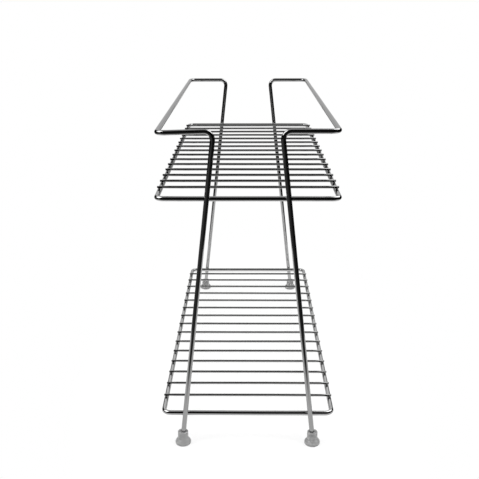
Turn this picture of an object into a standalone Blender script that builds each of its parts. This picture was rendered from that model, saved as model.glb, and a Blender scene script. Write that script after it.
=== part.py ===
"""Kitchen rack: two wire shelves welded between two bent side frames that stand on soft feet.

Metres, +Z up. X runs across the rack, Y from front to back, and the feet stand on Z = 0 with
the rack centred on the Z axis.
"""

import math

import bmesh
import bpy
from mathutils import Quaternion, Vector

# Wires, and the clearance kept where two wires are welded together
frame_wire_diameter = 0.0055
rim_wire_diameter = 0.0055
cross_wire_diameter = 0.0030
weld_clearance = 0.0003

# Shelf rims, measured along the wire's centreline
rim_length = 0.4860
rim_width = 0.1938
rim_corner_radius = 0.0080

# Cross wires, laid over the long sides of each rim and ending just inside their outer sides
cross_wire_count = 15
cross_wire_end_inset = 0.0003
cross_wire_end_margin = 0.0335

# Heights of the cross wires and of the top rails
lower_shelf_height = 0.0409
shelf_spacing = 0.2542
rail_rise = 0.0680

# Legs: how far in from the rim's long side each leg crosses the rims, and how far the top
# rail reaches out from the top of the leg
lower_leg_inset = 0.0254
upper_leg_inset = 0.0536
rail_reach = 0.0585
leg_bend_radius = 0.0085
rail_corner_radius = 0.0090

# Feet, turned caps with a blind bore for the end of the leg
foot_height = 0.0160
foot_collar_wall = 0.0029
foot_flare_top = 0.0088
foot_flare_bottom = 0.0032
foot_flare_reach = 0.0030
foot_top_round = 0.0008
foot_base_round = 0.0020
foot_floor_thickness = 0.0035
foot_bore_clearance = 0.0003
foot_bore_overrun = 0.0060
foot_axis_merge_distance = 0.0001

# Counts that set how fine the round shapes are
wire_bevel_resolution = 4
cross_wire_bevel_resolution = 3
bend_steps = 7
foot_turn_steps = 24
foot_flare_steps = 7
foot_round_steps = 3

# Radii and half sizes that the pieces share
frame_wire_radius = frame_wire_diameter / 2
rim_wire_radius = rim_wire_diameter / 2
cross_wire_radius = cross_wire_diameter / 2
rim_half_length = rim_length / 2
rim_half_width = rim_width / 2

# A rim hangs under its cross wires, and the legs stand just outside the ends of the rims
rim_drop = cross_wire_radius + rim_wire_radius + weld_clearance
lower_rim_height = lower_shelf_height - rim_drop
upper_shelf_height = lower_shelf_height + shelf_spacing
upper_rim_height = upper_shelf_height - rim_drop
rail_height = upper_shelf_height + rail_rise
leg_plane = rim_half_length + rim_wire_radius + frame_wire_radius + weld_clearance
cross_wire_length = rim_width + rim_wire_diameter - 2 * cross_wire_end_inset


def clear_scene():
    """Remove every object of the scene that the script starts in."""
    for old_object in list(bpy.data.objects):
        bpy.data.objects.remove(old_object, do_unlink=True)


def make_collection(name):
    """Make a collection in the scene."""
    collection = bpy.data.collections.new(name)
    bpy.context.scene.collection.children.link(collection)
    return collection


def make_material(name, colour, metallic, roughness):
    """Make a Principled BSDF material from a linear colour."""
    material = bpy.data.materials.new(name)
    material.use_nodes = True
    shader = material.node_tree.nodes["Principled BSDF"]
    shader.inputs["Base Color"].default_value = (*colour, 1.0)
    shader.inputs["Metallic"].default_value = metallic
    shader.inputs["Roughness"].default_value = roughness
    material.diffuse_color = (*colour, 1.0)
    material.metallic = metallic
    material.roughness = roughness
    return material


def bend_points(before, corner, after, radius):
    """Points of the arc that rounds one corner of a path."""
    way_in = (corner - before).normalized()
    way_out = (after - corner).normalized()
    turn = way_in.angle(way_out)
    setback = radius * math.tan(turn / 2)
    axis = way_in.cross(way_out).normalized()
    start = corner - way_in * setback
    centre = start + axis.cross(way_in) * radius
    arm = start - centre
    points = []
    for step in range(bend_steps + 1):
        swing = Quaternion(axis, turn * step / bend_steps)
        points.append(centre + swing @ arm)
    return points


def rounded_path(corners, radii, closed):
    """Path through the corners with each bend rounded; an open path keeps its two ends."""
    points = []
    last = len(corners) - 1
    for index, corner in enumerate(corners):
        if not closed and index in (0, last):
            points.append(corner)
            continue
        before = corners[index - 1]
        after = corners[(index + 1) % len(corners)]
        points.extend(bend_points(before, corner, after, radii[index]))
    return points


def make_wire_curve(name, points, diameter, closed, bevel_resolution, material):
    """Make the curve data of a round wire with filled ends."""
    curve = bpy.data.curves.new(name, "CURVE")
    curve.dimensions = "3D"
    curve.bevel_depth = diameter / 2
    curve.bevel_resolution = bevel_resolution
    curve.use_fill_caps = True
    spline = curve.splines.new("POLY")
    spline.points.add(len(points) - 1)
    for spline_point, point in zip(spline.points, points):
        spline_point.co = (*point, 1.0)
    spline.use_cyclic_u = closed
    spline.use_smooth = True
    curve.materials.append(material)
    return curve


def add_object(name, data, location, collection, parent):
    """Place an object that holds the data and hang it on the parent."""
    new_object = bpy.data.objects.new(name, data)
    new_object.location = location
    new_object.parent = parent
    collection.objects.link(new_object)
    return new_object


def leg_distance(height):
    """Distance of a leg's centreline from the rack's middle plane at a height."""
    lower_distance = rim_half_width - lower_leg_inset
    upper_distance = rim_half_width - upper_leg_inset
    climb_share = (height - lower_rim_height) / (upper_rim_height - lower_rim_height)
    return lower_distance + (upper_distance - lower_distance) * climb_share


def leg_point(side, end, height):
    """Point on a leg's centreline; side is -1 at the left, end is -1 at the front."""
    return Vector((side * leg_distance(height), end * leg_plane, height))


def add_side_frame(name, side, material, collection, parent):
    """One bent wire: front leg, top rail and back leg of one side."""
    leg_end_height = foot_floor_thickness + foot_bore_clearance
    rail_distance = leg_distance(rail_height) + rail_reach
    corners = [
        leg_point(side, -1, leg_end_height),
        leg_point(side, -1, rail_height),
        Vector((side * rail_distance, -leg_plane, rail_height)),
        Vector((side * rail_distance, leg_plane, rail_height)),
        leg_point(side, 1, rail_height),
        leg_point(side, 1, leg_end_height),
    ]
    radii = [0, leg_bend_radius, rail_corner_radius, rail_corner_radius, leg_bend_radius, 0]
    path = rounded_path(corners, radii, closed=False)
    curve = make_wire_curve(name, path, frame_wire_diameter, False, wire_bevel_resolution, material)
    return add_object(name, curve, (0, 0, 0), collection, parent)


def make_rim_curve(name, material):
    """Rounded rectangle of wire that carries one shelf."""
    corners = [
        Vector((-rim_half_width, -rim_half_length, 0)),
        Vector((rim_half_width, -rim_half_length, 0)),
        Vector((rim_half_width, rim_half_length, 0)),
        Vector((-rim_half_width, rim_half_length, 0)),
    ]
    radii = [rim_corner_radius] * len(corners)
    path = rounded_path(corners, radii, closed=True)
    return make_wire_curve(name, path, rim_wire_diameter, True, wire_bevel_resolution, material)


def make_cross_wire_curve(name, material):
    """Straight wire that spans a shelf."""
    half_length = cross_wire_length / 2
    path = [Vector((-half_length, 0, 0)), Vector((half_length, 0, 0))]
    return make_wire_curve(name, path, cross_wire_diameter, False, cross_wire_bevel_resolution, material)


def add_shelf(level, shelf_height, rim_curve, cross_wire_curve, collection, parent):
    """A rim with its row of cross wires, numbered from the front."""
    rim_place = (0, 0, shelf_height - rim_drop)
    add_object(f"{level}_shelf_rim", rim_curve, rim_place, collection, parent)
    first_place = -rim_half_length + cross_wire_end_margin
    pitch = -2 * first_place / (cross_wire_count - 1)
    for index in range(cross_wire_count):
        place = (0, first_place + pitch * index, shelf_height)
        add_object(f"{level}_cross_wire_{index + 1:02d}", cross_wire_curve, place, collection, parent)


def foot_profile():
    """Outline of a foot from its top centre down the outer side to its base centre."""
    collar_radius = frame_wire_radius + foot_bore_clearance + foot_collar_wall
    base_radius = collar_radius + foot_flare_reach
    points = [(0, foot_height)]
    for step in range(foot_round_steps + 1):
        angle = math.pi / 2 * (1 - step / foot_round_steps)
        radius = collar_radius - foot_top_round * (1 - math.cos(angle))
        points.append((radius, foot_height - foot_top_round * (1 - math.sin(angle))))
    for step in range(foot_flare_steps + 1):
        fall_share = step / foot_flare_steps
        swell_share = (1 - math.cos(math.pi * fall_share)) / 2
        height = foot_flare_top + (foot_flare_bottom - foot_flare_top) * fall_share
        points.append((collar_radius + foot_flare_reach * swell_share, height))
    for step in range(foot_round_steps + 1):
        angle = math.pi / 2 * step / foot_round_steps
        radius = base_radius - foot_base_round * (1 - math.cos(angle))
        points.append((radius, foot_base_round * (1 - math.sin(angle))))
    points.append((0, 0))
    return points


def make_foot_mesh(name, material):
    """Half outline of a foot, standing in the XZ plane."""
    vertices = [(radius, 0, height) for radius, height in foot_profile()]
    edges = [(index, index + 1) for index in range(len(vertices) - 1)]
    mesh = bpy.data.meshes.new(name)
    mesh.from_pydata(vertices, edges, [])
    mesh.materials.append(material)
    return mesh


def add_bore_cutter(name, side, end, collection):
    """Tilted cylinder that clears the end of a leg out of its foot."""
    leg_end = leg_point(side, end, foot_floor_thickness + foot_bore_clearance)
    leg_top = leg_point(side, end, foot_height)
    direction = (leg_top - leg_end).normalized()
    bottom = leg_end - direction * foot_bore_clearance
    top = leg_top + direction * foot_bore_overrun
    shape = bmesh.new()
    bmesh.ops.create_cone(
        shape,
        cap_ends=True,
        segments=foot_turn_steps,
        radius1=frame_wire_radius + foot_bore_clearance,
        radius2=frame_wire_radius + foot_bore_clearance,
        depth=(top - bottom).length,
    )
    mesh = bpy.data.meshes.new(name)
    shape.to_mesh(mesh)
    shape.free()
    cutter = bpy.data.objects.new(name, mesh)
    cutter.location = (top + bottom) / 2
    cutter.rotation_mode = "QUATERNION"
    cutter.rotation_quaternion = direction.to_track_quat("Z", "Y")
    cutter.hide_render = True
    cutter.display_type = "WIRE"
    collection.objects.link(cutter)
    return cutter


def add_foot(name, side, end, mesh, collection, cutters, parent):
    """Turned cap that stands upright on the floor, bored along the leg that it holds."""
    grip_height = (foot_floor_thickness + foot_height) / 2
    grip = leg_point(side, end, grip_height)
    foot = add_object(name, mesh, (grip.x, grip.y, 0), collection, parent)
    turn = foot.modifiers.new("Turn", "SCREW")
    turn.steps = foot_turn_steps
    turn.render_steps = foot_turn_steps
    turn.use_merge_vertices = True
    turn.merge_threshold = foot_axis_merge_distance
    turn.use_smooth_shade = True
    bore = foot.modifiers.new("Bore", "BOOLEAN")
    bore.operation = "DIFFERENCE"
    bore.solver = "EXACT"
    bore.object = add_bore_cutter(f"{name}_bore", side, end, cutters)
    return foot


def build_rack():
    """Model the whole rack."""
    clear_scene()
    rack = make_collection("kitchen_rack")
    cutters = make_collection("cutters")
    origin = add_object("rack_origin", None, (0, 0, 0), rack, None)

    frame_steel = make_material("side_frame_steel", (0.60, 0.60, 0.62), 1.0, 0.16)
    rim_steel = make_material("rim_steel", (0.62, 0.62, 0.63), 1.0, 0.16)
    cross_steel = make_material("cross_wire_steel", (0.55, 0.55, 0.56), 1.0, 0.20)
    foot_vinyl = make_material("foot_vinyl", (0.42, 0.42, 0.43), 0.0, 0.45)

    sides = {"left": -1, "right": 1}
    ends = {"front": -1, "back": 1}
    for side_name, side in sides.items():
        add_side_frame(f"side_frame_{side_name}", side, frame_steel, rack, origin)

    rim_curve = make_rim_curve("shelf_rim", rim_steel)
    cross_wire_curve = make_cross_wire_curve("cross_wire", cross_steel)
    for level, height in (("lower", lower_shelf_height), ("upper", upper_shelf_height)):
        add_shelf(level, height, rim_curve, cross_wire_curve, rack, origin)

    foot_mesh = make_foot_mesh("foot", foot_vinyl)
    for end_name, end in ends.items():
        for side_name, side in sides.items():
            foot_name = f"foot_{end_name}_{side_name}"
            add_foot(foot_name, side, end, foot_mesh, rack, cutters, origin)


build_rack()
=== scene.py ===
import math

import bmesh
import bpy
from mathutils import Matrix, Vector


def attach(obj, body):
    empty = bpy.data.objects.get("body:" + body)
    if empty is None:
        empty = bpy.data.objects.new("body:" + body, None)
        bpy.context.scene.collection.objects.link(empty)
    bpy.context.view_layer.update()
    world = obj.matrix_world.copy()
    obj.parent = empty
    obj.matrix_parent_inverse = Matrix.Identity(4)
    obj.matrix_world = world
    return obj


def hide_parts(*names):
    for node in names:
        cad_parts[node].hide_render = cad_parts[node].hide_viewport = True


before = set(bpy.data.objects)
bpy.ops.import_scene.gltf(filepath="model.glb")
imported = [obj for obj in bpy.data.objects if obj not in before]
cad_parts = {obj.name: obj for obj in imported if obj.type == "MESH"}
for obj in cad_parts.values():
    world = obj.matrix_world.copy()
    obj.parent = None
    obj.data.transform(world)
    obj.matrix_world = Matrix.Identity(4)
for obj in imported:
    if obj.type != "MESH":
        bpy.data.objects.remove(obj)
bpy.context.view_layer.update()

MM = 0.001

# Camera: the place and the angles from which the photograph was taken
CAMERA_PLACE = Vector((0.16, -1030.72, 494.73)) * MM
CAMERA_TURN = math.radians(0.66)
CAMERA_DIP = math.radians(17.548)
CAMERA_ROLL = math.radians(-0.14)
CAMERA_LENS = 58.05
SENSOR_WIDTH = 36.0

# Bent wires: the two side frames and the two shelf rims
HEAVY_WIRE = 5.5 * MM
LEG_HALF_SPAN = 248.8 * MM
LEG_FLOOR_DISTANCE = 75.56 * MM
LEG_LEAN = 0.11094
LEG_END_HEIGHT = 3.8 * MM
RAIL_HEIGHT = 363.0 * MM
RAIL_DISTANCE = 93.78 * MM
LEG_BEND_RADIUS = 8.5 * MM
RAIL_CORNER_RADIUS = 9.0 * MM
RIM_HALF_WIDTH = 96.8 * MM
RIM_HALF_LENGTH = 243.0 * MM
RIM_CORNER_RADIUS = 8.0 * MM
RIM_HEIGHTS = {"lower": 36.35 * MM, "upper": 290.55 * MM}

# The bends of the photographed rack aren't quite true: one corner of a rail hangs lower
FRONT_CORNER_SAG = {"left": 1.8 * MM, "right": 0.0}

# Cross wires: straight lengths cut by a shear, laid over the long sides of each rim
THIN_WIRE = 3.0 * MM
CROSS_WIRE_LENGTH = 198.7 * MM
CROSS_WIRE_COUNT = 15
CROSS_WIRE_FIRST = -209.5 * MM
CROSS_WIRE_LAST = 209.5 * MM
CROSS_WIRE_PITCH = (CROSS_WIRE_LAST - CROSS_WIRE_FIRST) / (CROSS_WIRE_COUNT - 1)
CROSS_WIRE_RISE = 4.55 * MM
CROSS_WIRE_WANDER = Vector((0.10, 0.25, 0.0)) * MM
CROSS_WIRE_SKEW = math.radians(0.10)
COIL_LENGTH = 40.0
SHEARED_END = 0.25 * MM
SHEARED_END_SHARE = 0.80

# A wire straightened off the coil keeps a slight wave
HEAVY_WIRE_WAVE = 0.10 * MM
THIN_WIRE_WAVE = 0.10 * MM
WAVE_LENGTH = 90.0 * MM

# Blender's noise has its middle at 0.5, strays about 0.25 from it, and is mostly within
# the low and the high value
NOISE_MIDDLE = 0.5
NOISE_REACH = 0.25
NOISE_LOW = 0.35
NOISE_HIGH = 0.65

# How many finer copies of itself a noise carries
PLAIN_NOISE = 1.0
FINE_NOISE = 2.0
FINEST_NOISE = 3.0

# The colour sockets of Blender's Mix node and the number sockets of its Random Value node,
# which both have a socket of the same name for each kind of data
MIX_FIRST = 6
MIX_SECOND = 7
MIX_RESULT = 2
RANDOM_MIN = 2
RANDOM_MAX = 3
RANDOM_VALUE = 1

# How finely the wires are drawn
RING_SPACING = 1.6 * MM
THIN_RING_SPACING = 6.0 * MM
BEND_STEPS = 24
HEAVY_WIRE_SIDES = 28
THIN_WIRE_SIDES = 18
NEXT_RING_REACH = 1.5

# Fixed seeds of what is left to chance; the second side or shelf takes the next number
FRAME_SEED = 1
RIM_SEED = 3
CROSS_WIRE_SEED = 5
CROSS_WELD_SEED = 7
LEG_WELD_SEED = 9

# Welds: the small beads squeezed out where two wires are fused
CROSS_WELD_SIZE = Vector((1.6, 1.9, 0.75)) * MM
LEG_WELD_SIZE = Vector((2.2, 1.0, 2.5)) * MM
WELD_UNEVENNESS = 0.035 * MM
WELD_FULLNESS = (0.88, 1.08)
WELD_GRAIN = 1.5 * MM
WELD_ROUNDNESS = 3

# Feet: soft caps with a rolled lip and a bell-shaped skirt, ringed by fine grooves
CAP_HEIGHT = 16.0 * MM
CAP_MIDDLE_DISTANCE = 74.48 * MM
CAP_COLLAR_RADIUS = 5.95 * MM
CAP_BASE_RADIUS = 8.95 * MM
CAP_LIP_RADIUS = 0.8 * MM
CAP_BORE_ROUND = 0.4 * MM
CAP_GROOVE_DEPTH = 0.40 * MM
CAP_GROOVE_HEIGHTS = (13.9 * MM, 12.1 * MM, 7.2 * MM, 4.6 * MM)
CAP_GROOVE_HALF_WIDTH = 0.55 * MM
CAP_GROOVE_STEPS = 2
CAP_FLARE_TOP = 8.8 * MM
CAP_FLARE_BOTTOM = 3.2 * MM
CAP_FLARE_HEIGHT = CAP_FLARE_TOP - CAP_FLARE_BOTTOM
CAP_BASE_ROUND = 2.0 * MM
CAP_FLOOR = 3.5 * MM
CAP_BORE_RADIUS = 2.85 * MM
CAP_RECESS_DEPTH = 0.5 * MM
CAP_RECESS_RADIUS = 5.2 * MM
CAP_RECESS_SLOPE = 0.4 * MM
MERGE_DISTANCE = 0.005 * MM
CAP_TURN_STEPS = 64
CAP_ARC_STEPS = 8
CAP_FLARE_STEPS = 16

# Real die lines are about 0.05 mm apart, and are drawn coarser here so that they show
HEAVY_LINE_SPACING = 0.35 * MM
THIN_LINE_SPACING = 0.25 * MM
LINE_STRETCH = 90
LINE_DEPTH = 0.02 * MM
LINE_STRENGTH = 0.25

# Worn patches on the wires, and how much of the light they mirror at a glancing angle
PATCH_WIDTH = 9.0 * MM
PATCH_LENGTH = 30.0 * MM
STEEL_EDGE_TINT = "#dadada"

# Weld metal, with pits about half a millimetre apart
WELD_SMOOTH = 0.14
WELD_ROUGH = 0.34
WELD_PIT_SPACING = 0.45 * MM
WELD_PIT_DEPTH = 0.06 * MM
WELD_PIT_STRENGTH = 0.5
WELD_PIT_RAGGEDNESS = 0.65

# Soft PVC; real mould grain is about 0.1 mm across, and is drawn coarser so that it shows
PVC_IOR = 1.53
PVC_SMOOTH = 0.30
PVC_ROUGH = 0.60
PVC_MILKINESS = 0.6
PVC_CLEARNESS = 0.30
PVC_CLOUD_SIZE = 5.0 * MM
PVC_GRAIN_SIZE = 0.4 * MM
PVC_GRAIN_DEPTH = 0.03 * MM
PVC_GRAIN_STRENGTH = 0.35
PVC_BASE_SHARE = 0.75
PVC_LIGHT_DEPTH = 2.5 * MM

# Studio: a pale table, and around it glowing sheets that only the polished wire mirrors: a painted
# reflection of a dark room, and painted soft-box glints
TABLE_FRONT = -0.46
TABLE_BACK = 2.60
TABLE_HALF_WIDTH = 0.46
TABLE_HEIGHT = -0.05 * MM
EDGE_SHEET_BACK = -0.24
EDGE_FADE_START = -0.32
EDGE_SHADE = 0.20
SHEET_HEIGHT = 0.05 * MM
FLOOR_HEIGHT = -1.0 * MM
SHADOW_NEAR = 0.12
SHADOW_FAR = 0.24
SHADOW_SHARE = 0.25
SHADOW_LENGTH_SHARE = 0.42
ROOM_HALF_WIDTH = 2.6
ROOM_FRONT = -2.6
BACKDROP_HALF_WIDTH = 1.40
ROOM_HEIGHT = 2.4
ROOM_CEILING_BACK = -0.72
ROOM_DUSK = (-1.6, 1.0)
TABLE_GREYING = (0.9, 1.6)
BACKDROP_PALING = (0.75, 1.10)
# Painted glints: glowing squares that only the wires mirror, placed to put soft-box glints on the
# corners; they light nothing
GLINT_SHEET_MIDDLES = {
    "left": Vector((-1.16, -0.27, 1.37)),
    "right": Vector((0.91, 0.48, 1.53)),
}
GLINT_SHEET_HALF_SIZE = 0.60
GLINT_SHEET_GLOW = 3.0
WORLD_LIGHT = 0.85
LAMP_DISTANCE = 1.15
LAMP_HEIGHT = 1.30
LAMP_TARGET = Vector((0.0, 0.0, 0.10))
LAMP_SIZE = 0.60
LAMP_POWER = 12.0


def linear(hex_colour):
    """Linear colour of an sRGB hex value such as "#a0a0a0"."""
    channels = []
    for start in (1, 3, 5):
        value = int(hex_colour[start:start + 2], 16) / 255
        if value <= 0.04045:
            channels.append(value / 12.92)
        else:
            channels.append(((value + 0.055) / 1.055) ** 2.4)
    return (*channels, 1.0)


def add_node(tree, kind, inputs=None, **settings):
    """Add a node, set its properties, and give each input a value or a link."""
    node = tree.nodes.new(kind)
    for name, value in settings.items():
        setattr(node, name, value)
    for key, value in (inputs or {}).items():
        if isinstance(value, bpy.types.NodeSocket):
            tree.links.new(value, node.inputs[key])
        else:
            node.inputs[key].default_value = value
    return node


def new_material(name):
    """An empty material, its tree and its Principled shader."""
    material = bpy.data.materials.new(name)
    material.use_nodes = True
    tree = material.node_tree
    tree.nodes.clear()
    shader = add_node(tree, "ShaderNodeBsdfPrincipled")
    add_node(tree, "ShaderNodeOutputMaterial", {"Surface": shader.outputs[0]})
    return material, tree, shader


def drawn_stainless_steel(name, bright, worn, line_spacing, smooth, rough):
    """Stainless steel wire, drawn through a die and then electropolished.

    Polishing leaves it mirror bright. The die leaves faint lines along the wire, and
    handling leaves patches that are slightly duller and darker.
    """
    material, tree, shader = new_material(name)
    along_wire = add_node(tree, "ShaderNodeAttribute", attribute_name="wire_place")
    place = along_wire.outputs["Vector"]
    across = 1 / line_spacing
    line_place = add_node(tree, "ShaderNodeMapping", {
        "Vector": place,
        "Scale": (across, across, across / LINE_STRETCH),
    })
    lines = add_node(tree, "ShaderNodeTexNoise", {
        "Vector": line_place.outputs[0],
        "Scale": 1.0,
        "Detail": FINE_NOISE,
    })
    patch_place = add_node(tree, "ShaderNodeMapping", {
        "Vector": place,
        "Scale": (1 / PATCH_WIDTH, 1 / PATCH_WIDTH, 1 / PATCH_LENGTH),
    })
    patches = add_node(tree, "ShaderNodeTexNoise", {
        "Vector": patch_place.outputs[0],
        "Scale": 1.0,
        "Detail": FINEST_NOISE,
    })
    tone = add_node(tree, "ShaderNodeMix", {
        "Factor": patches.outputs["Fac"],
        MIX_FIRST: linear(bright),
        MIX_SECOND: linear(worn),
    }, data_type="RGBA")
    both = add_node(tree, "ShaderNodeMath", {
        0: lines.outputs["Fac"],
        1: patches.outputs["Fac"],
    }, operation="ADD")
    roughness = add_node(tree, "ShaderNodeMapRange", {
        "Value": both.outputs[0],
        "From Min": 2 * NOISE_LOW,
        "From Max": 2 * NOISE_HIGH,
        "To Min": smooth,
        "To Max": rough,
    })
    relief = add_node(tree, "ShaderNodeBump", {
        "Strength": LINE_STRENGTH,
        "Distance": LINE_DEPTH,
        "Height": lines.outputs["Fac"],
    })
    tree.links.new(tone.outputs[MIX_RESULT], shader.inputs["Base Color"])
    tree.links.new(roughness.outputs[0], shader.inputs["Roughness"])
    tree.links.new(relief.outputs[0], shader.inputs["Normal"])
    shader.inputs["Metallic"].default_value = 1.0
    shader.inputs["Specular Tint"].default_value = linear(STEEL_EDGE_TINT)
    return material


def weld_metal():
    """Stainless steel squeezed out of a resistance weld, then electropolished.

    It is the same metal as the wire, but cast in place: a little duller and darker, with
    fine pits and ripples that the polish didn't reach.
    """
    material, tree, shader = new_material("resistance_weld_steel")
    place = add_node(tree, "ShaderNodeTexCoord").outputs["Object"]
    pits = add_node(tree, "ShaderNodeTexNoise", {
        "Vector": place,
        "Scale": 1 / WELD_PIT_SPACING,
        "Detail": FINEST_NOISE,
        "Roughness": WELD_PIT_RAGGEDNESS,
    })
    tone = add_node(tree, "ShaderNodeMix", {
        "Factor": pits.outputs["Fac"],
        MIX_FIRST: linear("#999999"),
        MIX_SECOND: linear("#797979"),
    }, data_type="RGBA")
    roughness = add_node(tree, "ShaderNodeMapRange", {
        "Value": pits.outputs["Fac"],
        "From Min": NOISE_LOW,
        "From Max": NOISE_HIGH,
        "To Min": WELD_SMOOTH,
        "To Max": WELD_ROUGH,
    })
    relief = add_node(tree, "ShaderNodeBump", {
        "Strength": WELD_PIT_STRENGTH,
        "Distance": WELD_PIT_DEPTH,
        "Height": pits.outputs["Fac"],
    })
    tree.links.new(tone.outputs[MIX_RESULT], shader.inputs["Base Color"])
    tree.links.new(roughness.outputs[0], shader.inputs["Roughness"])
    tree.links.new(relief.outputs[0], shader.inputs["Normal"])
    shader.inputs["Metallic"].default_value = 1.0
    return material


def soft_pvc():
    """Translucent grey PVC, plasticised and injection moulded.

    Light goes some way into it, so it looks milky, and the end of the leg shows through.
    The mould leaves a fine satin grain, and the base is darker and duller towards the bottom.
    """
    material, tree, shader = new_material("translucent_soft_pvc")
    place = add_node(tree, "ShaderNodeTexCoord").outputs["Object"]
    clouds = add_node(tree, "ShaderNodeTexNoise", {
        "Vector": place,
        "Scale": 1 / PVC_CLOUD_SIZE,
        "Detail": FINEST_NOISE,
    })
    grain = add_node(tree, "ShaderNodeTexNoise", {
        "Vector": place,
        "Scale": 1 / PVC_GRAIN_SIZE,
        "Detail": FINE_NOISE,
    })
    height = add_node(tree, "ShaderNodeSeparateXYZ", {0: place}).outputs["Z"]
    # The cap turns darker and duller towards the bottom of its base
    towards_base = add_node(tree, "ShaderNodeMapRange", {
        "Value": height,
        "From Min": 0.0,
        "From Max": CAP_FLARE_BOTTOM,
        "To Min": PVC_BASE_SHARE,
        "To Max": 0.0,
    })
    tone = add_node(tree, "ShaderNodeMix", {
        "Factor": clouds.outputs["Fac"],
        MIX_FIRST: linear("#adadad"),
        MIX_SECOND: linear("#969696"),
    }, data_type="RGBA")
    dulled = add_node(tree, "ShaderNodeMix", {
        "Factor": towards_base.outputs[0],
        MIX_FIRST: tone.outputs[MIX_RESULT],
        MIX_SECOND: linear("#8d8d8d"),
    }, data_type="RGBA")
    wear = add_node(tree, "ShaderNodeMath", {
        0: grain.outputs["Fac"],
        1: towards_base.outputs[0],
    }, operation="ADD")
    roughness = add_node(tree, "ShaderNodeMapRange", {
        "Value": wear.outputs[0],
        "From Min": NOISE_LOW,
        "From Max": NOISE_HIGH + PVC_BASE_SHARE,
        "To Min": PVC_SMOOTH,
        "To Max": PVC_ROUGH,
    })
    relief = add_node(tree, "ShaderNodeBump", {
        "Strength": PVC_GRAIN_STRENGTH,
        "Distance": PVC_GRAIN_DEPTH,
        "Height": grain.outputs["Fac"],
    })
    tree.links.new(dulled.outputs[MIX_RESULT], shader.inputs["Base Color"])
    tree.links.new(roughness.outputs[0], shader.inputs["Roughness"])
    tree.links.new(relief.outputs[0], shader.inputs["Normal"])
    shader.inputs["IOR"].default_value = PVC_IOR
    shader.inputs["Subsurface Weight"].default_value = PVC_MILKINESS
    # Grey PVC lets light of every colour equally deep
    shader.inputs["Subsurface Radius"].default_value = (1.0, 1.0, 1.0)
    shader.inputs["Subsurface Scale"].default_value = PVC_LIGHT_DEPTH
    shader.inputs["Transmission Weight"].default_value = PVC_CLEARNESS
    return material


# One stainless steel for frame, rims and cross wires: the rim tone is painted lighter and the
# cross-wire tone painted darker, standing in for how bright each shows in its reflections
frame_steel = drawn_stainless_steel(
    "drawn_frame_wire_steel",
    bright="#adadad",
    worn="#a1a1a1",
    line_spacing=HEAVY_LINE_SPACING,
    smooth=0.03,
    rough=0.09,
)
rim_steel_painted_lighter = drawn_stainless_steel(
    "rim_wire_steel_painted_lighter",
    bright="#bebebe",
    worn="#b2b2b2",
    line_spacing=HEAVY_LINE_SPACING,
    smooth=0.03,
    rough=0.09,
)
cross_steel_painted_darker = drawn_stainless_steel(
    "cross_wire_steel_painted_darker",
    bright="#a0a0a0",
    worn="#909090",
    line_spacing=THIN_LINE_SPACING,
    smooth=0.04,
    rough=0.11,
)
weld_steel = weld_metal()
cap_pvc = soft_pvc()


def new_tree(name, sockets):
    """A Geometry Nodes tree with named inputs, and its input and output nodes."""
    tree = bpy.data.node_groups.new(name, "GeometryNodeTree")
    for label, kind in sockets.items():
        tree.interface.new_socket(name=label, in_out="INPUT", socket_type="NodeSocket" + kind)
    tree.interface.new_socket(name="Geometry", in_out="OUTPUT", socket_type="NodeSocketGeometry")
    given = add_node(tree, "NodeGroupInput").outputs
    return tree, given


def finish_tree(tree, geometry, material):
    """Smooth shading, real geometry in place of instances, the material, and the output."""
    real = add_node(tree, "GeometryNodeRealizeInstances", {"Geometry": geometry})
    smooth = add_node(tree, "GeometryNodeSetShadeSmooth", {"Geometry": real.outputs[0]})
    coated = add_node(tree, "GeometryNodeSetMaterial", {
        "Geometry": smooth.outputs[0],
        "Material": material,
    })
    add_node(tree, "NodeGroupOutput", {"Geometry": coated.outputs[0]})


def add_wave(tree, geometry, height, length, seed):
    """Move points a little to and fro, the wave that straightened wire keeps."""
    position = add_node(tree, "GeometryNodeInputPosition").outputs[0]
    frequency = add_node(tree, "ShaderNodeMath", {0: 1.0, 1: length}, operation="DIVIDE")
    noise = add_node(tree, "ShaderNodeTexNoise", {
        "Vector": position,
        "W": seed,
        "Scale": frequency.outputs[0],
        "Detail": PLAIN_NOISE,
    }, noise_dimensions="4D")
    centred = add_node(tree, "ShaderNodeVectorMath", {
        0: noise.outputs["Color"],
        1: (NOISE_MIDDLE, NOISE_MIDDLE, NOISE_MIDDLE),
    }, operation="SUBTRACT")
    scale = add_node(tree, "ShaderNodeMath", {0: height, 1: NOISE_REACH}, operation="DIVIDE")
    offset = add_node(tree, "ShaderNodeVectorMath", {
        0: centred.outputs[0],
        "Scale": scale.outputs[0],
    }, operation="SCALE")
    moved = add_node(tree, "GeometryNodeSetPosition", {
        "Geometry": geometry,
        "Offset": offset.outputs[0],
    })
    return moved.outputs[0]


def round_profile(tree, diameter, sides):
    """A circle across the wire that remembers each point's place on it."""
    radius = add_node(tree, "ShaderNodeMath", {0: diameter, 1: 0.5}, operation="MULTIPLY")
    circle = add_node(tree, "GeometryNodeCurvePrimitiveCircle", {
        "Resolution": sides,
        "Radius": radius.outputs[0],
    })
    marked = add_node(tree, "GeometryNodeStoreNamedAttribute", {
        "Geometry": circle.outputs[0],
        "Name": "profile_place",
        "Value": add_node(tree, "GeometryNodeInputPosition").outputs[0],
    }, data_type="FLOAT_VECTOR", domain="POINT")
    return marked.outputs[0]


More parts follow.
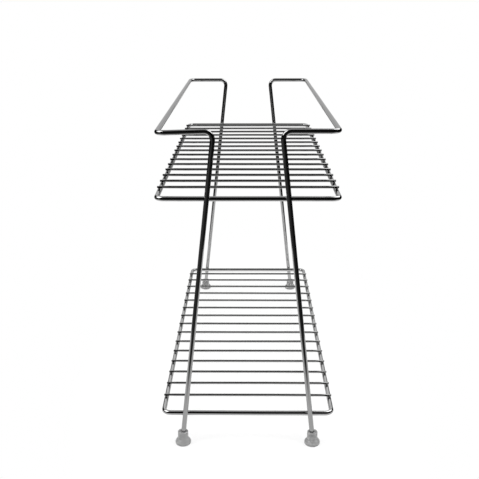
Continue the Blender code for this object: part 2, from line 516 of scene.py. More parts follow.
def store_wire_place(tree, geometry, shift=0.0):
    """Store where each point is on its wire: two numbers across it and one along it."""
    profile_place = add_node(tree, "GeometryNodeInputNamedAttribute", {
        "Name": "profile_place",
    }, data_type="FLOAT_VECTOR")
    distance_along = add_node(tree, "GeometryNodeInputNamedAttribute", {
        "Name": "distance_along",
    }, data_type="FLOAT")
    across = add_node(tree, "ShaderNodeSeparateXYZ", {0: profile_place.outputs["Attribute"]})
    along = add_node(tree, "ShaderNodeMath", {
        0: distance_along.outputs["Attribute"],
        1: shift,
    }, operation="ADD")
    place = add_node(tree, "ShaderNodeCombineXYZ", {
        "X": across.outputs["X"],
        "Y": across.outputs["Y"],
        "Z": along.outputs[0],
    })
    placed = add_node(tree, "GeometryNodeStoreNamedAttribute", {
        "Geometry": geometry,
        "Name": "wire_place",
        "Value": place.outputs[0],
    }, data_type="FLOAT_VECTOR", domain="POINT")
    return placed.outputs[0]


def bent_wire_tree():
    """Round wire bent along corner points, each with a bend radius of its own."""
    tree, given = new_tree("bent_round_wire", {
        "Corner Path": "Geometry",
        "Wire Diameter": "Float",
        "Sides": "Int",
        "Ring Spacing": "Float",
        "Bend Steps": "Int",
        "Wave Height": "Float",
        "Wave Length": "Float",
        "Seed": "Float",
        "Material": "Material",
    })
    path = add_node(tree, "GeometryNodeMeshToCurve", {"Mesh": given["Corner Path"]})
    bend_radius = add_node(tree, "GeometryNodeInputNamedAttribute", {
        "Name": "bend_radius",
    }, data_type="FLOAT")
    bent = add_node(tree, "GeometryNodeFilletCurve", {
        "Curve": path.outputs[0],
        "Count": given["Bend Steps"],
        "Radius": bend_radius.outputs["Attribute"],
    }, mode="POLY")
    even = add_node(tree, "GeometryNodeResampleCurve", {
        "Curve": bent.outputs[0],
        "Length": given["Ring Spacing"],
    }, mode="LENGTH")
    measured = add_node(tree, "GeometryNodeStoreNamedAttribute", {
        "Geometry": even.outputs[0],
        "Name": "distance_along",
        "Value": add_node(tree, "GeometryNodeSplineParameter").outputs["Length"],
    }, data_type="FLOAT", domain="POINT")
    waved = add_wave(
        tree,
        measured.outputs[0],
        given["Wave Height"],
        given["Wave Length"],
        given["Seed"],
    )
    wire = add_node(tree, "GeometryNodeCurveToMesh", {
        "Curve": waved,
        "Profile Curve": round_profile(tree, given["Wire Diameter"], given["Sides"]),
        "Fill Caps": True,
    })
    finish_tree(tree, store_wire_place(tree, wire.outputs[0]), given["Material"])
    return tree


def cross_wire_row_tree():
    """A row of equal straight wires across a shelf, each a little out of true."""
    tree, given = new_tree("row_of_cross_wires", {
        "Count": "Int",
        "First Place": "Vector",
        "Last Place": "Vector",
        "Wire Length": "Float",
        "Wire Diameter": "Float",
        "Sides": "Int",
        "Ring Spacing": "Float",
        "Sheared End": "Float",
        "Sheared End Share": "Float",
        "Wander": "Vector",
        "Skew": "Float",
        "Wave Height": "Float",
        "Wave Length": "Float",
        "Seed": "Int",
        "Material": "Material",
    })
    half = add_node(tree, "ShaderNodeMath", {
        0: given["Wire Length"],
        1: 0.5,
    }, operation="MULTIPLY")
    minus_half = add_node(tree, "ShaderNodeMath", {
        0: half.outputs[0],
        1: -1.0,
    }, operation="MULTIPLY")
    start = add_node(tree, "ShaderNodeCombineXYZ", {"X": minus_half.outputs[0]})
    end = add_node(tree, "ShaderNodeCombineXYZ", {"X": half.outputs[0]})
    line = add_node(tree, "GeometryNodeCurvePrimitiveLine", {
        "Start": start.outputs[0],
        "End": end.outputs[0],
    })
    even = add_node(tree, "GeometryNodeResampleCurve", {
        "Curve": line.outputs[0],
        "Length": given["Ring Spacing"],
    }, mode="LENGTH")
    # The shear rounds each end over: the last ring is narrower, and the one before it is
    # moved out to the start of the rounding
    parameter = add_node(tree, "GeometryNodeSplineParameter").outputs
    from_start = parameter["Length"]
    from_end = add_node(tree, "ShaderNodeMath", {
        0: given["Wire Length"],
        1: from_start,
    }, operation="SUBTRACT")
    to_end = add_node(tree, "ShaderNodeMath", {
        0: from_start,
        1: from_end.outputs[0],
    }, operation="MINIMUM")
    near_ring = add_node(tree, "ShaderNodeMath", {
        0: given["Ring Spacing"],
        1: NEXT_RING_REACH,
    }, operation="MULTIPLY")
    next_to_end = add_node(tree, "ShaderNodeMath", {
        0: to_end.outputs[0],
        1: near_ring.outputs[0],
    }, operation="LESS_THAN")
    side = add_node(tree, "ShaderNodeMath", {
        0: add_node(tree, "ShaderNodeSeparateXYZ", {
            0: add_node(tree, "GeometryNodeInputPosition").outputs[0],
        }).outputs["X"],
    }, operation="SIGN")
    rounding_start = add_node(tree, "ShaderNodeMath", {
        0: half.outputs[0],
        1: given["Sheared End"],
    }, operation="SUBTRACT")
    rounding_place = add_node(tree, "ShaderNodeMath", {
        0: rounding_start.outputs[0],
        1: side.outputs[0],
    }, operation="MULTIPLY")
    is_last = add_node(tree, "ShaderNodeMath", {
        0: to_end.outputs[0],
        1: given["Sheared End"],
    }, operation="LESS_THAN")
    moves = add_node(tree, "ShaderNodeMath", {
        0: next_to_end.outputs[0],
        1: is_last.outputs[0],
    }, operation="SUBTRACT")
    rounding_point = add_node(tree, "ShaderNodeCombineXYZ", {"X": rounding_place.outputs[0]})
    shaped = add_node(tree, "GeometryNodeSetPosition", {
        "Geometry": even.outputs[0],
        "Selection": moves.outputs[0],
        "Position": rounding_point.outputs[0],
    })
    measured = add_node(tree, "GeometryNodeStoreNamedAttribute", {
        "Geometry": shaped.outputs[0],
        "Name": "distance_along",
        "Value": from_start,
    }, data_type="FLOAT", domain="POINT")
    last_scale = add_node(tree, "ShaderNodeMapRange", {
        "Value": is_last.outputs[0],
        "To Min": 1.0,
        "To Max": given["Sheared End Share"],
    })
    wire = add_node(tree, "GeometryNodeCurveToMesh", {
        "Curve": measured.outputs[0],
        "Profile Curve": round_profile(tree, given["Wire Diameter"], given["Sides"]),
        "Scale": last_scale.outputs[0],
        "Fill Caps": True,
    })
    places = add_node(tree, "GeometryNodeMeshLine", {
        "Count": given["Count"],
        "Start Location": given["First Place"],
        "Offset": given["Last Place"],
    }, mode="END_POINTS")
    minus_wander = add_node(tree, "ShaderNodeVectorMath", {
        0: given["Wander"],
        "Scale": -1.0,
    }, operation="SCALE")
    shift = add_node(tree, "FunctionNodeRandomValue", {
        "Min": minus_wander.outputs[0],
        "Max": given["Wander"],
        "Seed": given["Seed"],
    }, data_type="FLOAT_VECTOR")
    wandered = add_node(tree, "GeometryNodeSetPosition", {
        "Geometry": places.outputs[0],
        "Offset": shift.outputs[0],
    })
    minus_skew = add_node(tree, "ShaderNodeMath", {
        0: given["Skew"],
        1: -1.0,
    }, operation="MULTIPLY")
    skew = add_node(tree, "FunctionNodeRandomValue", {
        RANDOM_MIN: minus_skew.outputs[0],
        RANDOM_MAX: given["Skew"],
        "Seed": given["Seed"],
    })
    turn = add_node(tree, "ShaderNodeCombineXYZ", {"Z": skew.outputs[RANDOM_VALUE]})
    laid = add_node(tree, "GeometryNodeInstanceOnPoints", {
        "Points": wandered.outputs[0],
        "Instance": wire.outputs[0],
        "Rotation": turn.outputs[0],
    })
    place_on_coil = add_node(tree, "FunctionNodeRandomValue", {
        RANDOM_MAX: COIL_LENGTH,
        "Seed": given["Seed"],
    })
    marked = add_node(tree, "GeometryNodeStoreNamedAttribute", {
        "Geometry": laid.outputs[0],
        "Name": "place_on_coil",
        "Value": place_on_coil.outputs[RANDOM_VALUE],
    }, data_type="FLOAT", domain="INSTANCE")
    real = add_node(tree, "GeometryNodeRealizeInstances", {"Geometry": marked.outputs[0]})
    coil_place = add_node(tree, "GeometryNodeInputNamedAttribute", {
        "Name": "place_on_coil",
    }, data_type="FLOAT")
    placed = store_wire_place(tree, real.outputs[0], coil_place.outputs["Attribute"])
    waved = add_wave(tree, placed, given["Wave Height"], given["Wave Length"], given["Seed"])
    finish_tree(tree, waved, given["Material"])
    return tree


def weld_tree():
    """A small uneven bead of fused metal at each point."""
    tree, given = new_tree("weld_beads", {
        "Points": "Geometry",
        "Bead Size": "Vector",
        "Roundness": "Int",
        "Least Fullness": "Float",
        "Most Fullness": "Float",
        "Unevenness": "Float",
        "Grain": "Float",
        "Seed": "Int",
        "Material": "Material",
    })
    bead = add_node(tree, "GeometryNodeMeshIcoSphere", {"Subdivisions": given["Roundness"]})
    fullness = add_node(tree, "FunctionNodeRandomValue", {
        RANDOM_MIN: given["Least Fullness"],
        RANDOM_MAX: given["Most Fullness"],
        "Seed": given["Seed"],
    })
    size = add_node(tree, "ShaderNodeVectorMath", {
        0: given["Bead Size"],
        "Scale": fullness.outputs[RANDOM_VALUE],
    }, operation="SCALE")
    beads = add_node(tree, "GeometryNodeInstanceOnPoints", {
        "Points": given["Points"],
        "Instance": bead.outputs[0],
        "Scale": size.outputs[0],
    })
    real = add_node(tree, "GeometryNodeRealizeInstances", {"Geometry": beads.outputs[0]})
    position = add_node(tree, "GeometryNodeInputPosition").outputs[0]
    frequency = add_node(tree, "ShaderNodeMath", {0: 1.0, 1: given["Grain"]}, operation="DIVIDE")
    noise = add_node(tree, "ShaderNodeTexNoise", {
        "Vector": position,
        "Scale": frequency.outputs[0],
        "Detail": PLAIN_NOISE,
    })
    centred = add_node(tree, "ShaderNodeMath", {
        0: noise.outputs["Fac"],
        1: NOISE_MIDDLE,
    }, operation="SUBTRACT")
    scale = add_node(tree, "ShaderNodeMath", {
        0: given["Unevenness"],
        1: NOISE_REACH,
    }, operation="DIVIDE")
    height = add_node(tree, "ShaderNodeMath", {
        0: centred.outputs[0],
        1: scale.outputs[0],
    }, operation="MULTIPLY")
    outward = add_node(tree, "GeometryNodeInputNormal").outputs["Normal"]
    offset = add_node(tree, "ShaderNodeVectorMath", {
        0: outward,
        "Scale": height.outputs[0],
    }, operation="SCALE")
    rippled = add_node(tree, "GeometryNodeSetPosition", {
        "Geometry": real.outputs[0],
        "Offset": offset.outputs[0],
    })
    finish_tree(tree, rippled.outputs[0], given["Material"])
    return tree


wire_maker = bent_wire_tree()
row_maker = cross_wire_row_tree()
weld_maker = weld_tree()


def grow(name, start_mesh, tree, values):
    """Run a tree on a starting mesh, and keep the result as a plain mesh object."""
    seed_object = bpy.data.objects.new(name + "_start", start_mesh)
    bpy.context.scene.collection.objects.link(seed_object)
    modifier = seed_object.modifiers.new("maker", "NODES")
    modifier.node_group = tree
    for socket in tree.interface.items_tree:
        if socket.in_out == "INPUT" and socket.name in values:
            modifier[socket.identifier] = values[socket.name]
    evaluated = seed_object.evaluated_get(bpy.context.evaluated_depsgraph_get())
    mesh = bpy.data.meshes.new_from_object(evaluated)
    mesh.name = name
    piece = bpy.data.objects.new(name, mesh)
    bpy.context.scene.collection.objects.link(piece)
    bpy.data.objects.remove(seed_object)
    return piece


def corner_path(name, corners, closed):
    """A mesh of edges from corner to corner; each corner is a point and a bend radius."""
    points = [point for point, radius in corners]
    edges = [(index, index + 1) for index in range(len(points) - 1)]
    if closed:
        edges.append((len(points) - 1, 0))
    mesh = bpy.data.meshes.new(name)
    mesh.from_pydata(points, edges, [])
    radii = mesh.attributes.new("bend_radius", "FLOAT", "POINT")
    for index, (point, radius) in enumerate(corners):
        radii.data[index].value = radius
    return mesh


def bent_wire(name, corners, closed, steel, seed):
    """A piece of heavy round wire bent along its corners."""
    return grow(name, corner_path(name + "_path", corners, closed), wire_maker, {
        "Wire Diameter": HEAVY_WIRE,
        "Sides": HEAVY_WIRE_SIDES,
        "Ring Spacing": RING_SPACING,
        "Bend Steps": BEND_STEPS,
        "Wave Height": HEAVY_WIRE_WAVE,
        "Wave Length": WAVE_LENGTH,
        "Seed": float(seed),
        "Material": steel,
    })


def leg_distance(height):
    """How far the middle of a leg is from the middle plane at a height."""
    return LEG_FLOOR_DISTANCE - LEG_LEAN * height


def side_frame(name, side, sag, seed):
    """Front leg, front arm, top rail, back arm and back leg, bent from one wire.

    The bends aren't quite true, and the front corner of the rail hangs lower by the sag.
    """
    foot_x = side * leg_distance(LEG_END_HEIGHT)
    bend_x = side * leg_distance(RAIL_HEIGHT)
    rail_x = side * RAIL_DISTANCE
    front = -LEG_HALF_SPAN
    back = LEG_HALF_SPAN
    corners = [
        ((foot_x, front, LEG_END_HEIGHT), 0.0),
        ((bend_x, front, RAIL_HEIGHT), LEG_BEND_RADIUS),
        ((rail_x, front, RAIL_HEIGHT - sag), RAIL_CORNER_RADIUS),
        ((rail_x, back, RAIL_HEIGHT), RAIL_CORNER_RADIUS),
        ((bend_x, back, RAIL_HEIGHT), LEG_BEND_RADIUS),
        ((foot_x, back, LEG_END_HEIGHT), 0.0),
    ]
    return bent_wire(name, corners, False, frame_steel, seed)


SIDES = {"left": -1, "right": 1}
ENDS = {"front": -1, "back": 1}

pieces = []
for number, (side_name, side) in enumerate(SIDES.items()):
    sag = FRONT_CORNER_SAG[side_name]
    piece = side_frame("side_frame_" + side_name + "_wire", side, sag, FRAME_SEED + number)
    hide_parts("side_frame_" + side_name)
    pieces.append(piece)


def rim(name, height, seed):
    """A closed rectangle of wire with rounded corners; its butt joint is at the back."""
    corners = [
        ((0.0, RIM_HALF_LENGTH, height), 0.0),
        ((RIM_HALF_WIDTH, RIM_HALF_LENGTH, height), RIM_CORNER_RADIUS),
        ((RIM_HALF_WIDTH, -RIM_HALF_LENGTH, height), RIM_CORNER_RADIUS),
        ((-RIM_HALF_WIDTH, -RIM_HALF_LENGTH, height), RIM_CORNER_RADIUS),
        ((-RIM_HALF_WIDTH, RIM_HALF_LENGTH, height), RIM_CORNER_RADIUS),
    ]
    return bent_wire(name, corners, True, rim_steel_painted_lighter, seed)


def cross_wires(name, height, seed):
    """The row of cross wires of one shelf."""
    return grow(name, bpy.data.meshes.new(name + "_start"), row_maker, {
        "Count": CROSS_WIRE_COUNT,
        "First Place": (0.0, CROSS_WIRE_FIRST, height),
        "Last Place": (0.0, CROSS_WIRE_LAST, height),
        "Wire Length": CROSS_WIRE_LENGTH,
        "Wire Diameter": THIN_WIRE,
        "Sides": THIN_WIRE_SIDES,
        "Ring Spacing": THIN_RING_SPACING,
        "Sheared End": SHEARED_END,
        "Sheared End Share": SHEARED_END_SHARE,
        "Wander": CROSS_WIRE_WANDER,
        "Skew": CROSS_WIRE_SKEW,
        "Wave Height": THIN_WIRE_WAVE,
        "Wave Length": WAVE_LENGTH,
        "Seed": seed,
        "Material": cross_steel_painted_darker,
    })


def weld_beads(name, points, size, seed):
    """A bead of fused metal at each point."""
    mesh = bpy.data.meshes.new(name + "_points")
    mesh.from_pydata(points, [], [])
    return grow(name, mesh, weld_maker, {
        "Bead Size": size,
        "Roundness": WELD_ROUNDNESS,
        "Least Fullness": WELD_FULLNESS[0],
        "Most Fullness": WELD_FULLNESS[1],
        "Unevenness": WELD_UNEVENNESS,
        "Grain": WELD_GRAIN,
        "Seed": seed,
        "Material": weld_steel,
    })


for shelf_number, (shelf, rim_height) in enumerate(RIM_HEIGHTS.items()):
    rim_piece = rim(shelf + "_shelf_rim_wire", rim_height, RIM_SEED + shelf_number)
    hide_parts(shelf + "_shelf_rim")
    row_height = rim_height + CROSS_WIRE_RISE
    row = cross_wires(shelf + "_cross_wires", row_height, CROSS_WIRE_SEED + shelf_number)
    for number in range(1, CROSS_WIRE_COUNT + 1):
        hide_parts(f"{shelf}_cross_wire_{number:02d}")
    contact_height = rim_height + (HEAVY_WIRE / 2 + CROSS_WIRE_RISE - THIN_WIRE / 2) / 2
    crossings = []
    for side in SIDES.values():
        for number in range(CROSS_WIRE_COUNT):
            y = CROSS_WIRE_FIRST + number * CROSS_WIRE_PITCH
            crossings.append((side * RIM_HALF_WIDTH, y, contact_height))
    bead_seed = CROSS_WELD_SEED + shelf_number
    beads = weld_beads(shelf + "_cross_wire_welds", crossings, CROSS_WELD_SIZE, bead_seed)
    pieces.extend((rim_piece, row, beads))

leg_contact = (LEG_HALF_SPAN + RIM_HALF_LENGTH) / 2
contacts = []
for rim_height in RIM_HEIGHTS.values():
    for side in SIDES.values():
        for end in ENDS.values():
            contacts.append((side * leg_distance(rim_height), end * leg_contact, rim_height))
leg_beads = weld_beads("leg_welds", contacts, LEG_WELD_SIZE, LEG_WELD_SEED)
pieces.append(leg_beads)


def arc(centre_radius, centre_height, arc_radius, first_degrees, last_degrees):
    """Points on an arc in a cap's profile, as pairs of radius and height."""
    points = []
    for step in range(CAP_ARC_STEPS + 1):
        angle = math.radians(first_degrees + (last_degrees - first_degrees) * step / CAP_ARC_STEPS)
        points.append((
            centre_radius + arc_radius * math.cos(angle),
            centre_height + arc_radius * math.sin(angle),
        ))
    return points


def cap_outer_radius(height):
    """Radius of a cap's outside at a height: the skirt's foot, the flare and the collar."""
    share = (height - CAP_FLARE_BOTTOM) / CAP_FLARE_HEIGHT
    share = min(max(share, 0.0), 1.0)
    ease = (1 - math.cos(math.pi * share)) / 2
    return CAP_BASE_RADIUS + (CAP_COLLAR_RADIUS - CAP_BASE_RADIUS) * ease


def cap_profile():
    """Half section of a cap: its outside from the middle of its base up over the lip, and
    its bore from there down to the middle of the bore's floor.
    """
    round_middle = CAP_BASE_RADIUS - CAP_BASE_ROUND
    outside = [
        (0.0, CAP_RECESS_DEPTH),
        (CAP_RECESS_RADIUS - CAP_RECESS_SLOPE, CAP_RECESS_DEPTH),
        (CAP_RECESS_RADIUS, 0.0),
    ]
    outside += arc(round_middle, CAP_BASE_ROUND, CAP_BASE_ROUND, -90, 0)
    levels = []
    for step in range(CAP_FLARE_STEPS + 1):
        levels.append((CAP_FLARE_BOTTOM + CAP_FLARE_HEIGHT * step / CAP_FLARE_STEPS, 0.0))
    for groove in CAP_GROOVE_HEIGHTS:
        levels = [level for level in levels if abs(level[0] - groove) > CAP_GROOVE_HALF_WIDTH]
        for step in range(-CAP_GROOVE_STEPS, CAP_GROOVE_STEPS + 1):
            share = step / CAP_GROOVE_STEPS
            depth = CAP_GROOVE_DEPTH * math.cos(math.pi / 2 * share) ** 2
            levels.append((groove + CAP_GROOVE_HALF_WIDTH * share, depth))
    for height, depth in sorted(levels):
        outside.append((cap_outer_radius(height) - depth, height))
    lip_height = CAP_HEIGHT - CAP_LIP_RADIUS
    outside += arc(CAP_COLLAR_RADIUS - CAP_LIP_RADIUS, lip_height, CAP_LIP_RADIUS, 0, 90)
    bore_lip_height = CAP_HEIGHT - CAP_BORE_ROUND
    bore = arc(CAP_BORE_RADIUS + CAP_BORE_ROUND, bore_lip_height, CAP_BORE_ROUND, 90, 180)
    bore.append((CAP_BORE_RADIUS, CAP_FLOOR))
    bore.append((0.0, CAP_FLOOR))
    return outside, bore


def cap(name, side, end):
    """A soft cap turned about an upright axis, with a bore that follows the leaning leg."""
    middle = Vector((side * CAP_MIDDLE_DISTANCE, end * LEG_HALF_SPAN, 0.0))
    outside, bore = cap_profile()
    built = bmesh.new()
    rings = []
    for index, (radius, height) in enumerate(outside + bore):
        shift = 0.0
        if index >= len(outside):
            shift = side * leg_distance(height) - middle.x
        centre = middle + Vector((shift, 0.0, height))
        if radius == 0.0:
            rings.append([built.verts.new(centre)])
            continue
        ring = []
        for step in range(CAP_TURN_STEPS):
            angle = 2 * math.pi * step / CAP_TURN_STEPS
            ring.append(built.verts.new(centre + Vector((
                radius * math.cos(angle),
                radius * math.sin(angle),
                0.0,
            ))))
        rings.append(ring)
    for lower, upper in zip(rings, rings[1:]):
        for step in range(CAP_TURN_STEPS):
            following = (step + 1) % CAP_TURN_STEPS
            if len(lower) == 1:
                corners = (lower[0], upper[following], upper[step])
            elif len(upper) == 1:
                corners = (lower[step], lower[following], upper[0])
            else:
                corners = (lower[step], lower[following], upper[following], upper[step])
            built.faces.new(corners)
    bmesh.ops.remove_doubles(built, verts=built.verts, dist=MERGE_DISTANCE)
    bmesh.ops.recalc_face_normals(built, faces=built.faces)
    for face in built.faces:
        face.smooth = True
    mesh = bpy.data.meshes.new(name)
    built.to_mesh(mesh)
    built.free()
    mesh.materials.append(cap_pvc)
    piece = bpy.data.objects.new(name, mesh)
    bpy.context.scene.collection.objects.link(piece)
    return piece


for end_name, end in ENDS.items():
    for side_name, side in SIDES.items():
        node = f"foot_{end_name}_{side_name}"
        piece = cap(node + "_cap", side, end)
        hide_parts(node)
        pieces.append(piece)

for piece in pieces:
    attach(piece, "root")


def card(name, corners, material):
    """A flat sheet through four corners."""
    mesh = bpy.data.meshes.new(name)
    mesh.from_pydata(corners, [], [(0, 1, 2, 3)])
    mesh.materials.append(material)
    sheet = bpy.data.objects.new(name, mesh)
    bpy.context.scene.collection.objects.link(sheet)
    return sheet


def level_card(name, x_range, y_range, height, material):
    """A level sheet that faces up."""
    (x0, x1), (y0, y1) = x_range, y_range
    corners = [(x0, y0, height), (x1, y0, height), (x1, y1, height), (x0, y1, height)]
    return card(name, corners, material)


def seen_white(tree):
    """1 for rays from the camera, a mirror surface or a clear one, and 0 for the rest."""
    rays = add_node(tree, "ShaderNodeLightPath").outputs
    first = add_node(tree, "ShaderNodeMath", {
        0: rays["Is Camera Ray"],
        1: rays["Is Glossy Ray"],
    }, operation="MAXIMUM")
    either = add_node(tree, "ShaderNodeMath", {
        0: first.outputs[0],
        1: rays["Is Transmission Ray"],
    }, operation="MAXIMUM")
    return either.outputs[0]


def table_laminate():
    """White matt laminate, which fades to plain white away from the rack."""
    material = bpy.data.materials.new("white_matt_laminate")
    material.use_nodes = True
    tree = material.node_tree
    tree.nodes.clear()
    place = add_node(tree, "ShaderNodeTexCoord").outputs["Object"]
    squash = add_node(tree, "ShaderNodeMapping", {
        "Vector": place,
        "Scale": (1.0, SHADOW_LENGTH_SHARE, 0.0),
    })
    distance = add_node(tree, "ShaderNodeVectorMath", {0: squash.outputs[0]}, operation="LENGTH")
    plain_share = add_node(tree, "ShaderNodeMapRange", {
        "Value": distance.outputs["Value"],
        "From Min": SHADOW_NEAR,
        "From Max": SHADOW_FAR,
        "To Min": 1 - SHADOW_SHARE,
        "To Max": 1.0,
    }, interpolation_type="SMOOTHSTEP")
    share = add_node(tree, "ShaderNodeMath", {
        0: plain_share.outputs[0],
        1: seen_white(tree),
    }, operation="MULTIPLY")
    matt = add_node(tree, "ShaderNodeBsdfDiffuse", {"Color": linear("#f8f8f8")})
    glow = add_node(tree, "ShaderNodeEmission", {"Color": linear("#ffffff"), "Strength": 1.0})
    both = add_node(tree, "ShaderNodeMixShader", {
        0: share.outputs[0],
        1: matt.outputs[0],
        2: glow.outputs[0],
    })
    add_node(tree, "ShaderNodeOutputMaterial", {"Surface": both.outputs[0]})
    return material


def painted_reflection_sheet(
    name,
    first,
    last,
    axis="X",
    span=ROOM_DUSK,
    strength=1.0,
    fade=None,
    thinnest=0.0,
):
    """A glowing sheet that only the mirror-bright wires show: a painted reflection.

    Its tone turns from first to last over a span along one axis. With a fade, it comes in
    from its thinnest cover to solid between two distances along Y.
    """
    material = bpy.data.materials.new(name)
    material.use_nodes = True
    tree = material.node_tree
    tree.nodes.clear()
    object_place = add_node(tree, "ShaderNodeTexCoord").outputs["Object"]
    place = add_node(tree, "ShaderNodeSeparateXYZ", {0: object_place}).outputs
    turning = add_node(tree, "ShaderNodeMapRange", {
        "Value": place[axis],
        "From Min": span[0],
        "From Max": span[1],
    }, interpolation_type="SMOOTHSTEP")
    tone = add_node(tree, "ShaderNodeMix", {
        "Factor": turning.outputs[0],
        MIX_FIRST: linear(first),
        MIX_SECOND: linear(last),
    }, data_type="RGBA")
    surface = add_node(tree, "ShaderNodeEmission", {
        "Color": tone.outputs[MIX_RESULT],
        "Strength": strength,
    }).outputs[0]
    if fade:
        cover = add_node(tree, "ShaderNodeMapRange", {
            "Value": place["Y"],
            "From Min": fade[0],
            "From Max": fade[1],
            "To Min": thinnest,
        }, interpolation_type="SMOOTHSTEP")
        clear = add_node(tree, "ShaderNodeBsdfTransparent")
        surface = add_node(tree, "ShaderNodeMixShader", {
            0: cover.outputs[0],
            1: clear.outputs[0],
            2: surface,
        }).outputs[0]
    add_node(tree, "ShaderNodeOutputMaterial", {"Surface": surface})
    return material


def upright_card(name, start, end, material):
    """An upright sheet as high as the room, over the line from start to end."""
    (x0, y0), (x1, y1) = start, end
    return card(name, [
        (x0, y0, FLOOR_HEIGHT),
        (x1, y1, FLOOR_HEIGHT),
        (x1, y1, ROOM_HEIGHT),
        (x0, y0, ROOM_HEIGHT),
    ], material)


def painted_glint_sheet(name, middle, material):
    """A glowing square turned towards the rack, that paints the glint of a soft box into the
    wires.
    """
    turn = (LAMP_TARGET - middle).to_track_quat("-Z", "Y")
    corners = []
    for right, up in ((-1, -1), (1, -1), (1, 1), (-1, 1)):
        reach = Vector((right, up, 0)) * GLINT_SHEET_HALF_SIZE
        corners.append(middle + turn @ reach)
    return card(name, corners, material)


laminate = table_laminate()
# Painted reflections: glowing sheets for a dark room, a dusky floor and table edge, a grey far
# table and ceiling, and a pale backdrop
dark_room_reflection = painted_reflection_sheet("painted_reflection_dark_room", "#151515", "#0e0e0e")
painted_reflection_floor = painted_reflection_sheet("painted_reflection_floor", "#505050", "#171717")
table_edge_reflection = painted_reflection_sheet(
    "painted_reflection_table_edge",
    "#505050",
    "#171717",
    fade=(EDGE_FADE_START, TABLE_FRONT),
    thinnest=EDGE_SHADE,
)
painted_reflection_far_table = painted_reflection_sheet("painted_reflection_far_table", "#8c8c8c", "#8c8c8c", fade=TABLE_GREYING)
ceiling_reflection = painted_reflection_sheet("painted_reflection_ceiling", "#b4b4b4", "#b4b4b4")
backdrop_reflection = painted_reflection_sheet(
    "painted_reflection_backdrop",
    "#e2e2e2",
    "#fcfcfc",
    axis="Z",
    span=BACKDROP_PALING,
)
# Painted glints: a bright white glow for the soft box squares
painted_glint_glow = painted_reflection_sheet("painted_glint_glow", "#ffffff", "#ffffff", strength=GLINT_SHEET_GLOW)

wall_span = (-ROOM_HALF_WIDTH, ROOM_HALF_WIDTH)
table_span = (-TABLE_HALF_WIDTH, TABLE_HALF_WIDTH)
front_span = (ROOM_FRONT, TABLE_FRONT)
edge_span = (TABLE_FRONT, EDGE_SHEET_BACK)
far_span = (TABLE_GREYING[0], TABLE_BACK)
dark_ceiling_span = (ROOM_FRONT, ROOM_CEILING_BACK)
pale_ceiling_span = (ROOM_CEILING_BACK, TABLE_BACK)
side_span = (TABLE_FRONT, TABLE_BACK)
level_card("table", table_span, (TABLE_FRONT, TABLE_BACK), TABLE_HEIGHT, laminate)
# Level sheets of painted reflection, seen only in the wires
mirror_only_sheets = [
    level_card("flag_floor_front", wall_span, front_span, FLOOR_HEIGHT, painted_reflection_floor),
    level_card("flag_table_edge", table_span, edge_span, SHEET_HEIGHT, table_edge_reflection),
    level_card("flag_table_far", table_span, far_span, SHEET_HEIGHT, painted_reflection_far_table),
    level_card("flag_ceiling_front", wall_span, dark_ceiling_span, ROOM_HEIGHT, dark_room_reflection),
    level_card("flag_ceiling_back", wall_span, pale_ceiling_span, ROOM_HEIGHT, ceiling_reflection),
]
front_left = (-ROOM_HALF_WIDTH, ROOM_FRONT)
front_right = (ROOM_HALF_WIDTH, ROOM_FRONT)
backdrop_left = (-BACKDROP_HALF_WIDTH, TABLE_BACK)
backdrop_right = (BACKDROP_HALF_WIDTH, TABLE_BACK)
walls = {
    "front": (front_left, front_right, dark_room_reflection),
    "back": (backdrop_left, backdrop_right, backdrop_reflection),
}
for side_name, side in SIDES.items():
    wall_x = side * ROOM_HALF_WIDTH
    backdrop_x = side * BACKDROP_HALF_WIDTH
    floor_span = sorted((wall_x, side * TABLE_HALF_WIDTH))
    walls["side_" + side_name] = ((wall_x, ROOM_FRONT), (wall_x, TABLE_BACK), dark_room_reflection)
    walls["back_" + side_name] = ((backdrop_x, TABLE_BACK), (wall_x, TABLE_BACK), dark_room_reflection)
    floor_name = "flag_floor_" + side_name
    mirror_only_sheets.append(level_card(floor_name, floor_span, side_span, FLOOR_HEIGHT, painted_reflection_floor))
    face_name = "painted_glint_face_" + side_name
    mirror_only_sheets.append(painted_glint_sheet(face_name, GLINT_SHEET_MIDDLES[side_name], painted_glint_glow))
for wall_name, (wall_start, wall_end, sheet_glow) in walls.items():
    mirror_only_sheets.append(upright_card("flag_" + wall_name, wall_start, wall_end, sheet_glow))

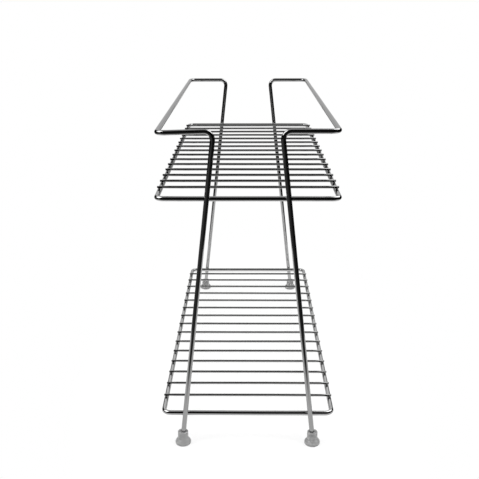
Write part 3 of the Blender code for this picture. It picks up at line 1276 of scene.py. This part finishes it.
# These sheets paint reflections and glints into the wires: only mirror rays see them, and they
# cast no shadow and light nothing
for mirror_only_card in mirror_only_sheets:
    mirror_only_card.visible_camera = False
    mirror_only_card.visible_diffuse = False
    mirror_only_card.visible_transmission = False
    mirror_only_card.visible_volume_scatter = False
    mirror_only_card.visible_shadow = False

world = bpy.data.worlds.new("studio")
world.use_nodes = True
world_tree = world.node_tree
world_tree.nodes.clear()
world_strength = add_node(world_tree, "ShaderNodeMapRange", {
    "Value": seen_white(world_tree),
    "To Min": WORLD_LIGHT,
    "To Max": 1.0,
})
world_light = add_node(world_tree, "ShaderNodeBackground", {
    "Color": linear("#ffffff"),
    "Strength": world_strength.outputs[0],
})
add_node(world_tree, "ShaderNodeOutputWorld", {"Surface": world_light.outputs[0]})
bpy.context.scene.world = world


def soft_lamp(name, side):
    """A square soft box beside the rack; the camera and the wires don't see it."""
    place = Vector((side * LAMP_DISTANCE, -LAMP_DISTANCE / 2, LAMP_HEIGHT))
    light = bpy.data.lights.new(name, "AREA")
    light.shape = "SQUARE"
    light.size = LAMP_SIZE
    light.energy = LAMP_POWER
    lamp = bpy.data.objects.new(name, light)
    lamp.location = place
    lamp.rotation_euler = (LAMP_TARGET - place).to_track_quat("-Z", "Y").to_euler()
    lamp.visible_camera = False
    lamp.visible_glossy = False
    bpy.context.scene.collection.objects.link(lamp)


for side_name, side in SIDES.items():
    soft_lamp("soft_lamp_" + side_name, side)

camera_data = bpy.data.cameras.new("photo_camera")
camera_data.lens = CAMERA_LENS
camera_data.sensor_width = SENSOR_WIDTH
camera = bpy.data.objects.new("photo_camera", camera_data)
bpy.context.scene.collection.objects.link(camera)
camera.matrix_world = (
    Matrix.Translation(CAMERA_PLACE)
    @ Matrix.Rotation(CAMERA_TURN, 4, "Z")
    @ Matrix.Rotation(math.pi / 2 - CAMERA_DIP, 4, "X")
    @ Matrix.Rotation(CAMERA_ROLL, 4, "Z")
)
bpy.context.scene.camera = camera
bpy.context.scene.view_settings.view_transform = "Standard"
